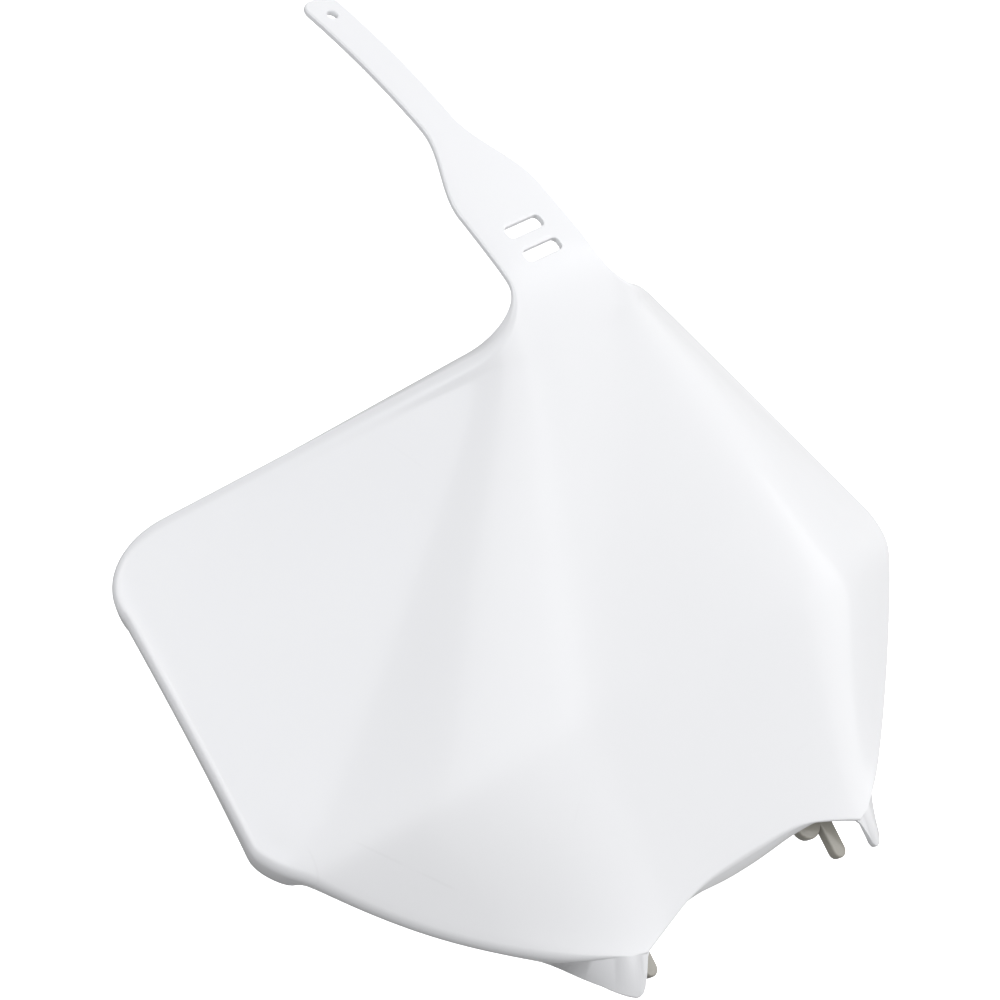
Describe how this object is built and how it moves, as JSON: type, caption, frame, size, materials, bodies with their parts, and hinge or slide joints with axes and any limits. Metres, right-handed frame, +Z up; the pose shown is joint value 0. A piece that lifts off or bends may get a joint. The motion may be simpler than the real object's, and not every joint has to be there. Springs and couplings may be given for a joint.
{
  "type": "racing number board",
  "caption": "Curved moulded plastic board for the front of a racing motorbike, with swept wings, a slotted neck and a strap.",
  "frame": {"origin": "centre of the wall midway between the two strap slots in the neck", "axes": "+Z up and +Y to the rear with the board reclined as on the bike, +X across, front face towards -Y"},
  "size_m": [0.2674, 0.1695, 0.2357],
  "materials": {
    "white_plastic": "gloss"
  },
  "bodies": {
    "root": {"number_board": "white_plastic"}
  },
  "joints": []
}
